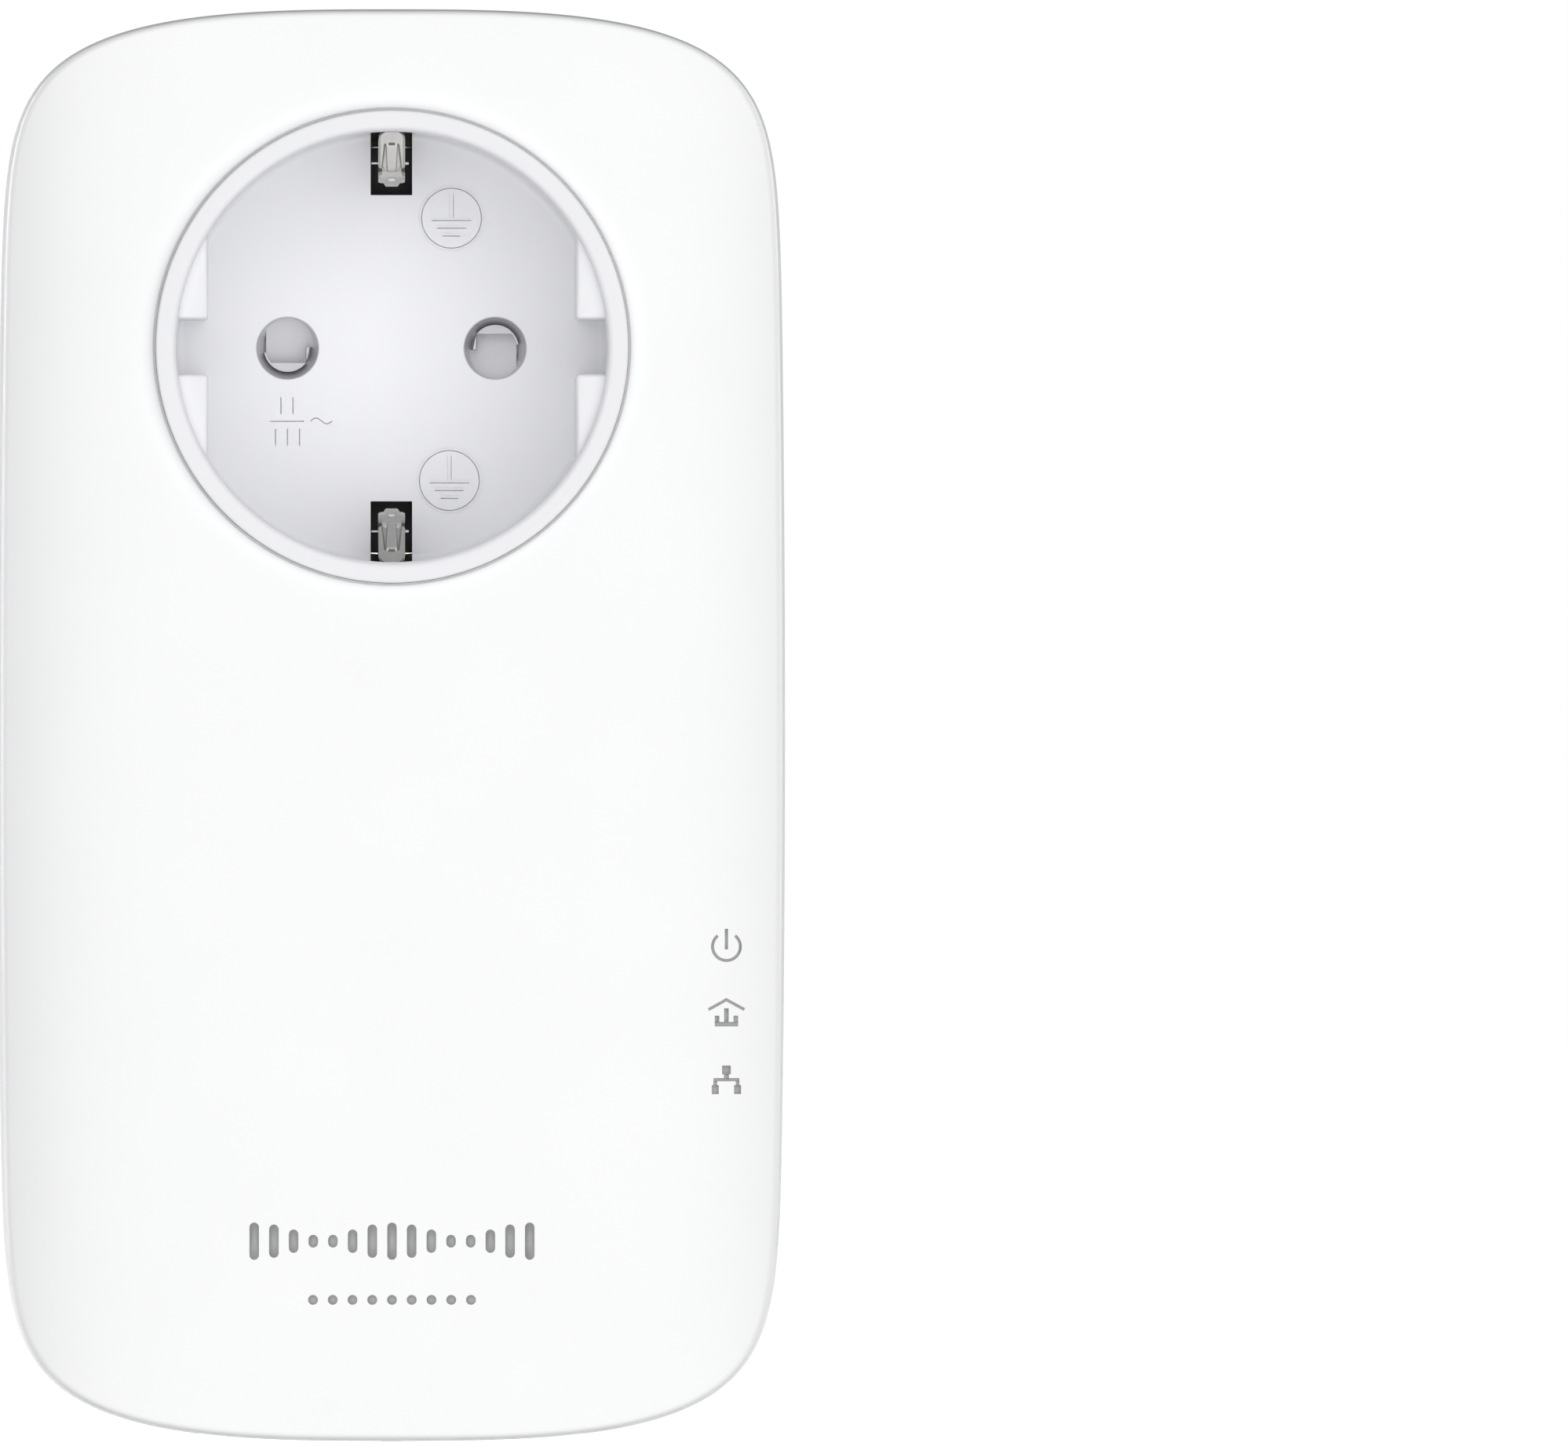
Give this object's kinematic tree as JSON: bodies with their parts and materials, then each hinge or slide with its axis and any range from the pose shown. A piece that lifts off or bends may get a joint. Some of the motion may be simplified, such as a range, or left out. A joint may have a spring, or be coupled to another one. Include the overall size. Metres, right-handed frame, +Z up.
{
  "type": "powerline network adapter with pass-through socket",
  "caption": "White plug-in powerline network adapter with an earthed round pass-through socket in its front, side lights and pair button, and network jacks in its lower end.",
  "frame": {"origin": "middle of the plug's end face, which meets the bottom of the wall socket", "axes": "+X to the right of someone facing the front socket, +Y into the wall along the plug pins, +Z up"},
  "size_m": [0.072, 0.078, 0.131],
  "materials": {
    "white_plastic": "satin moulded, very fine texture",
    "housing_white": "satin moulded",
    "shutter_white": "satin moulded",
    "plug_white": "satin moulded",
    "clear_plastic": "polished, frosted end",
    "spring_steel": "drawn, bright",
    "nickel": "nickel plated, bright",
    "brass": "stamped, bright",
    "board_green": "solder mask, semi-gloss",
    "black_plastic": "moulded, fine grain",
    "tinned_steel": "stamped, tinned",
    "aluminium": "extruded, clear anodised",
    "pad_blue": "soft, matte",
    "ferrite": "sintered, matte",
    "capacitor_sleeve": "shrink sleeve, glossy",
    "film_yellow": "moulded box, glossy",
    "ceramic_blue": "dipped coating",
    "fuse_glass": "clear tube"
  },
  "bodies": {
    "housing": {"front_cover": "white_plastic", "rear_housing": "housing_white", "socket_insert": "white_plastic", "shutter_retainer": "black_plastic", "shutter_spring": "spring_steel", "live_socket_contact": "brass", "neutral_socket_contact": "brass", "earth_strap": "brass", "plug_base": "plug_white", "live_plug_pin": "nickel", "neutral_plug_pin": "nickel", "plug_earth_sleeve": "brass", "live_busbar": "brass", "neutral_busbar": "brass", "main_board": "board_green", "power_board": "board_green", "plc_chip": "black_plastic", "thermal_pad": "pad_blue", "heatsink": "aluminium", "switch_chip": "black_plastic", "memory_chip": "black_plastic", "led_power": "clear_plastic", "led_powerline": "clear_plastic", "led_ethernet": "clear_plastic", "light_pipe": "clear_plastic", "pair_switch_body": "black_plastic", "reset_switch_body": "black_plastic", "smps_transformer": "ferrite", "x_capacitor": "film_yellow", "y_capacitor": "ceramic_blue", "bridge_rectifier": "black_plastic", "coupling_transformer": "ferrite", "bulk_capacitor_upper": "capacitor_sleeve", "bulk_capacitor_lower": "capacitor_sleeve", "fuse": "fuse_glass", "varistor": "ceramic_blue", "common_mode_choke": "ferrite", "board_connector": "black_plastic", "lan_jack_left": "tinned_steel", "lan_jack_right": "tinned_steel", "lan_magnetics_left": "black_plastic", "lan_magnetics_right": "black_plastic", "housing_screw_1": "spring_steel", "housing_screw_2": "spring_steel", "housing_screw_3": "spring_steel", "housing_screw_4": "spring_steel"},
    "shutter": {"socket_shutter": "shutter_white"},
    "socket_clip_upper": {"socket_earth_clip_upper": "nickel"},
    "socket_clip_lower": {"socket_earth_clip_lower": "nickel"},
    "plug_clip_upper": {"plug_earth_clip_upper": "nickel"},
    "plug_clip_lower": {"plug_earth_clip_lower": "nickel"},
    "button": {"pair_button": "white_plastic"},
    "pair_plunger": {"pair_switch_plunger": "black_plastic"},
    "reset_plunger": {"reset_switch_plunger": "black_plastic"},
    "network_contacts_left": {"lan_contacts_left": "brass"},
    "network_contacts_right": {"lan_contacts_right": "brass"}
  },
  "joints": [
    {"name": "shutter_turn", "type": "hinge", "parent": "housing", "child": "shutter", "pos_m": [0, -0.03825, 0], "axis": [0, 1, 0], "range_deg": [0, 36], "stiffness_Nm_per_rad": 0.01, "deforming": ["shutter_spring"]},
    {"name": "socket_clip_upper_flex", "type": "hinge", "parent": "housing", "child": "socket_clip_upper", "pos_m": [0, -0.0218, 0.0192], "axis": [-1, 0, 0], "range_deg": [0, 3.5], "stiffness_Nm_per_rad": 2},
    {"name": "socket_clip_lower_flex", "type": "hinge", "parent": "housing", "child": "socket_clip_lower", "pos_m": [0, -0.0218, -0.0192], "axis": [1, 0, 0], "range_deg": [0, 3.5], "stiffness_Nm_per_rad": 2},
    {"name": "plug_clip_upper_flex", "type": "hinge", "parent": "housing", "child": "plug_clip_upper", "pos_m": [0, -0.0213, 0.0173], "axis": [-1, 0, 0], "range_deg": [0, 2], "stiffness_Nm_per_rad": 2},
    {"name": "plug_clip_lower_flex", "type": "hinge", "parent": "housing", "child": "plug_clip_lower", "pos_m": [0, -0.0213, -0.0173], "axis": [1, 0, 0], "range_deg": [0, 2], "stiffness_Nm_per_rad": 2},
    {"name": "pair_button_press", "type": "slide", "parent": "housing", "child": "button", "axis": [-1, 0, 0], "range_m": [0, 0.0006], "stiffness_N_per_m": 1500},
    {"name": "pair_plunger_press", "type": "slide", "parent": "housing", "child": "pair_plunger", "axis": [-1, 0, 0], "range_m": [0, 0.0006]},
    {"name": "reset_press", "type": "slide", "parent": "housing", "child": "reset_plunger", "axis": [0, 0, 1], "range_m": [0, 0.00025], "stiffness_N_per_m": 4000},
    {"name": "network_contacts_left_flex", "type": "hinge", "parent": "housing", "child": "network_contacts_left", "pos_m": [-0.0093, -0.0423, -0.08595], "axis": [-1, 0, 0], "range_deg": [0, 6], "stiffness_Nm_per_rad": 0.2},
    {"name": "network_contacts_right_flex", "type": "hinge", "parent": "housing", "child": "network_contacts_right", "pos_m": [0.0093, -0.0423, -0.08595], "axis": [-1, 0, 0], "range_deg": [0, 6], "stiffness_Nm_per_rad": 0.2}
  ],
  "couplings": [
    {"joint": "pair_plunger_press", "follows": "pair_button_press", "ratio": 1}
  ]
}
